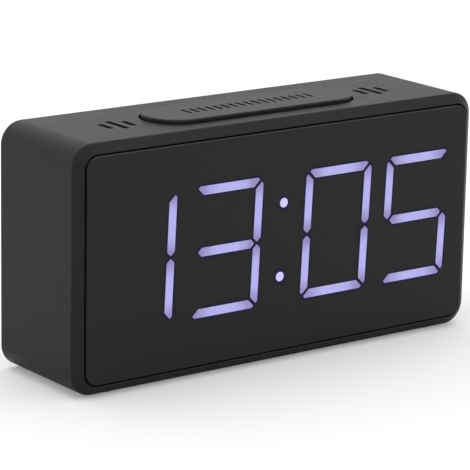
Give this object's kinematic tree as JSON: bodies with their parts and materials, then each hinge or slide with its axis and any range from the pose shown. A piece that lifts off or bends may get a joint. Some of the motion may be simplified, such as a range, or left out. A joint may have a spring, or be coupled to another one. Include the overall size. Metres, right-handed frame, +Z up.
{
  "type": "digital led desk clock",
  "caption": "Rectangular desk clock with a lit seven-segment display in a dark panel that stands slightly proud of its rim, a raised snooze bar on top, rear keys and a battery bay.",
  "frame": {"origin": "on the table under the middle of the clock, at the underside of its four foot pads", "axes": "+Z up, display facing -Y, +X to the right as seen from the front"},
  "size_m": [0.13, 0.0356, 0.0667],
  "materials": {
    "case": "fine matt texture, soft-touch black",
    "panel": "satin smoked black window",
    "lit_light": "lit violet-white light bars",
    "tape": "black double-sided tape",
    "milky_sheet": "milky diffuser film",
    "white_plastic": "matt white moulding",
    "board": "green solder mask",
    "led": "small light chip",
    "screw_steel": "zinc-plated",
    "black_screw": "black-coated screw",
    "chip": "moulded chip package",
    "ribbon": "grey ribbon cable",
    "can_metal": "plain can",
    "switch_black": "moulded black",
    "key": "satin black key",
    "socket_metal": "nickel-plated shell",
    "lead_red": "lead insulation",
    "spring_steel": "nickel-plated spring steel",
    "cell_sleeve": "printed cell sleeve, plain bands",
    "foot_rubber": "matt rubber"
  },
  "bodies": {
    "case": {"housing": "case", "rear_cover": "case", "front_panel": "panel", "unlit_segments": "panel", "lit_segments": "lit_light", "colon_dots": "lit_light", "panel_tape": "tape", "diffuser_sheet": "milky_sheet", "segment_reflector": "white_plastic", "display_board": "board", "control_board": "board", "snooze_board": "board", "segment_leds": "led", "display_board_screws": "screw_steel", "control_board_screws": "screw_steel", "snooze_board_screws": "screw_steel", "rear_cover_screws": "black_screw", "driver_chips": "chip", "microcontroller": "chip", "display_resistors": "chip", "ribbon_headers": "white_plastic", "ribbon_cable": "ribbon", "clock_crystal": "can_metal", "smoothing_capacitor": "can_metal", "key_switches": "switch_black", "slide_switch": "switch_black", "snooze_switch": "switch_black", "power_socket": "socket_metal", "buzzer": "switch_black", "buzzer_leads": "lead_red", "snooze_leads": "lead_red", "battery_leads": "lead_red", "contact_springs": "spring_steel", "contact_plates": "spring_steel", "battery_cells": "cell_sleeve", "foot_pads": "foot_rubber"},
    "snooze": {"snooze_button": "case", "snooze_plunger": "switch_black", "snooze_springs": "spring_steel"},
    "key_1": {"rear_key_1": "key", "key_plunger_1": "switch_black"},
    "key_2": {"rear_key_2": "key", "key_plunger_2": "switch_black"},
    "key_3": {"rear_key_3": "key", "key_plunger_3": "switch_black"},
    "key_4": {"rear_key_4": "key", "key_plunger_4": "switch_black"},
    "alarm_switch": {"slide_switch_lever": "switch_black", "alarm_slider": "key"},
    "door": {"battery_door": "case"}
  },
  "joints": [
    {"name": "snooze_press", "type": "slide", "parent": "case", "child": "snooze", "axis": [0, 0, -1], "range_m": [0, 0.0008], "stiffness_N_per_m": 600, "springref_m": -0.0012, "deforming": ["snooze_springs"]},
    {"name": "key_1_press", "type": "slide", "parent": "case", "child": "key_1", "axis": [0, -1, 0], "range_m": [0, 0.0003], "stiffness_N_per_m": 500, "springref_m": -0.0006},
    {"name": "key_2_press", "type": "slide", "parent": "case", "child": "key_2", "axis": [0, -1, 0], "range_m": [0, 0.0003], "stiffness_N_per_m": 500, "springref_m": -0.0006},
    {"name": "key_3_press", "type": "slide", "parent": "case", "child": "key_3", "axis": [0, -1, 0], "range_m": [0, 0.0003], "stiffness_N_per_m": 500, "springref_m": -0.0006},
    {"name": "key_4_press", "type": "slide", "parent": "case", "child": "key_4", "axis": [0, -1, 0], "range_m": [0, 0.0003], "stiffness_N_per_m": 500, "springref_m": -0.0006},
    {"name": "alarm_slide", "type": "slide", "parent": "case", "child": "alarm_switch", "axis": [1, 0, 0], "range_m": [0, 0.0025]},
    {"name": "battery_door_tilt", "type": "hinge", "parent": "case", "child": "door", "pos_m": [0, 0.0167, 0.006], "axis": [-1, 0, 0], "range_deg": [0, 75]}
  ]
}
